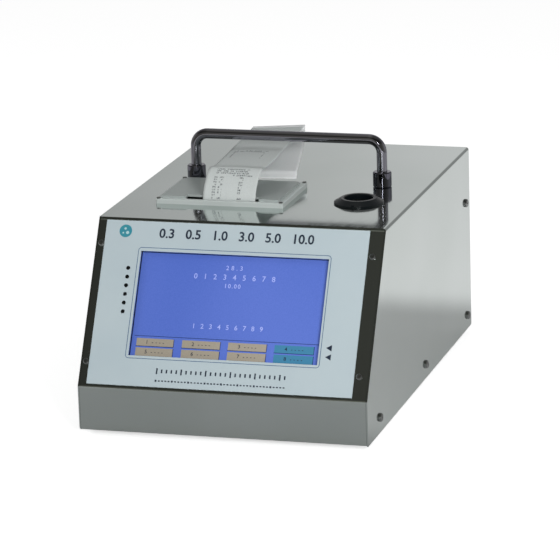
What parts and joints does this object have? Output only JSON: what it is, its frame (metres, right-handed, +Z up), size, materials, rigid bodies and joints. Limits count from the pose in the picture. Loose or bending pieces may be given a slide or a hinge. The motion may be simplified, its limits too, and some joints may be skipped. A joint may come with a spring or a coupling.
{
  "type": "airborne particle counter",
  "caption": "Bench airborne particle counter in polished stainless sheet: sloping front with blue display, carrying handle, built-in strip printer with lid, and a sampling inlet on top",
  "frame": {"origin": "centre of the bounding box at the level of the feet", "axes": "+X to the right as the user faces the display, +Y from the display to the rear panel, +Z up"},
  "size_m": [0.239, 0.3672, 0.2042],
  "materials": {
    "stainless": "polished stainless sheet with a soft blurred reflection",
    "screw_steel": "bright plated screws and pins",
    "overlay_film": "pale blue-grey printed film, satin",
    "screen_glass": "clear touch glass over a blue display",
    "lcd_panel": "blue backlit display",
    "lamp_lens": "black indicator lenses, unlit",
    "board_laminate": "green circuit board with black parts",
    "foot_rubber": "black rubber, matte",
    "gasket_foam": "black foam rubber",
    "handle_chrome": "bright chrome plate",
    "printer_case": "light grey moulded plastic, satin",
    "tray_plastic": "black moulded plastic",
    "platen_rubber": "black rubber roller",
    "shaft_steel": "plain steel",
    "paper": "white thermal paper, matte",
    "inlet_black": "black moulded plastic, satin",
    "nozzle_steel": "turned stainless tube",
    "hose_rubber": "black hose",
    "sensor_aluminium": "black anodised aluminium",
    "black_plastic": "black moulded plastic",
    "filter_plastic": "white canister",
    "plug_metal": "tinned connector shell",
    "contact_brass": "plated brass blades"
  },
  "bodies": {
    "housing": {"base_chassis": "stainless", "bezel_screws": "screw_steel", "blower_cover": "black_plastic", "blower_housing": "black_plastic", "blower_motor": "shaft_steel", "board_parts": "board_laminate", "carry_handle": "handle_chrome", "channel_lamps": "lamp_lens", "cover_screws": "screw_steel", "detector_board": "board_laminate", "display_gasket": "gasket_foam", "display_retainer": "shaft_steel", "display_window": "screen_glass", "exhaust_elbow": "hose_rubber", "exhaust_filter": "filter_plastic", "exhaust_nozzle": "nozzle_steel", "fan_frame": "black_plastic", "fascia_screws": "screw_steel", "feed_motor": "shaft_steel", "feet": "foot_rubber", "front_overlay": "overlay_film", "handle_ferrules": "handle_chrome", "handle_screws": "screw_steel", "inlet_blades": "contact_brass", "inlet_ring": "inlet_black", "inlet_well": "inlet_black", "inner_screws": "screw_steel", "lamp_board": "board_laminate", "laser_module": "sensor_aluminium", "lcd_module": "lcd_panel", "lid_pins": "screw_steel", "light_trap": "sensor_aluminium", "main_board": "board_laminate", "panel_screws": "screw_steel", "power_inlet": "black_plastic", "power_supply": "shaft_steel", "print_head": "tray_plastic", "printed_strip": "paper", "printer_bezel": "printer_case", "printer_tray": "tray_plastic", "rear_panel": "stainless", "roll_spindle": "tray_plastic", "sample_hoses": "hose_rubber", "sample_nozzle": "nozzle_steel", "sensor_block": "sensor_aluminium", "sensor_bracket": "shaft_steel", "serial_jacks": "screw_steel", "serial_port": "plug_metal", "switch_body": "black_plastic", "top_cover": "stainless", "underside_screws": "screw_steel"},
    "lid": {"printer_lid": "printer_case"},
    "rocker": {"switch_rocker": "black_plastic"},
    "fan": {"fan_rotor": "black_plastic"},
    "impeller": {"blower_impeller": "black_plastic"},
    "roll": {"paper_roll": "paper"},
    "platen": {"platen_roller": "platen_rubber", "platen_axle": "shaft_steel"},
    "pinion": {"motor_pinion": "shaft_steel"}
  },
  "joints": [
    {"name": "lid_hinge", "type": "hinge", "parent": "housing", "child": "lid", "pos_m": [-0.0331, -0.00016, 0.1632], "axis": [-1, 0, 0], "range_deg": [0, 95], "deforming": ["printed_strip"]},
    {"name": "power_rocker", "type": "hinge", "parent": "housing", "child": "rocker", "pos_m": [-0.078, 0.16464, 0.077], "axis": [1, 0, 0], "range_deg": [0, 16]},
    {"name": "fan_spin", "type": "hinge", "parent": "housing", "child": "fan", "pos_m": [0.075, 0.16, 0.117], "axis": [0, 1, 0], "continuous": true},
    {"name": "impeller_spin", "type": "hinge", "parent": "housing", "child": "impeller", "pos_m": [0.075, 0.06, 0.075], "axis": [0, 1, 0], "continuous": true},
    {"name": "roll_spin", "type": "hinge", "parent": "housing", "child": "roll", "pos_m": [-0.027, -0.01836, 0.138], "axis": [1, 0, 0], "continuous": true},
    {"name": "platen_spin", "type": "hinge", "parent": "housing", "child": "platen", "pos_m": [-0.027, -0.05236, 0.151], "axis": [1, 0, 0], "continuous": true},
    {"name": "pinion_spin", "type": "hinge", "parent": "housing", "child": "pinion", "pos_m": [-0.06, -0.04437, 0.14301], "axis": [1, 0, 0], "continuous": true}
  ],
  "couplings": [
    {"joint": "pinion_spin", "follows": "platen_spin", "ratio": -1.8}
  ]
}
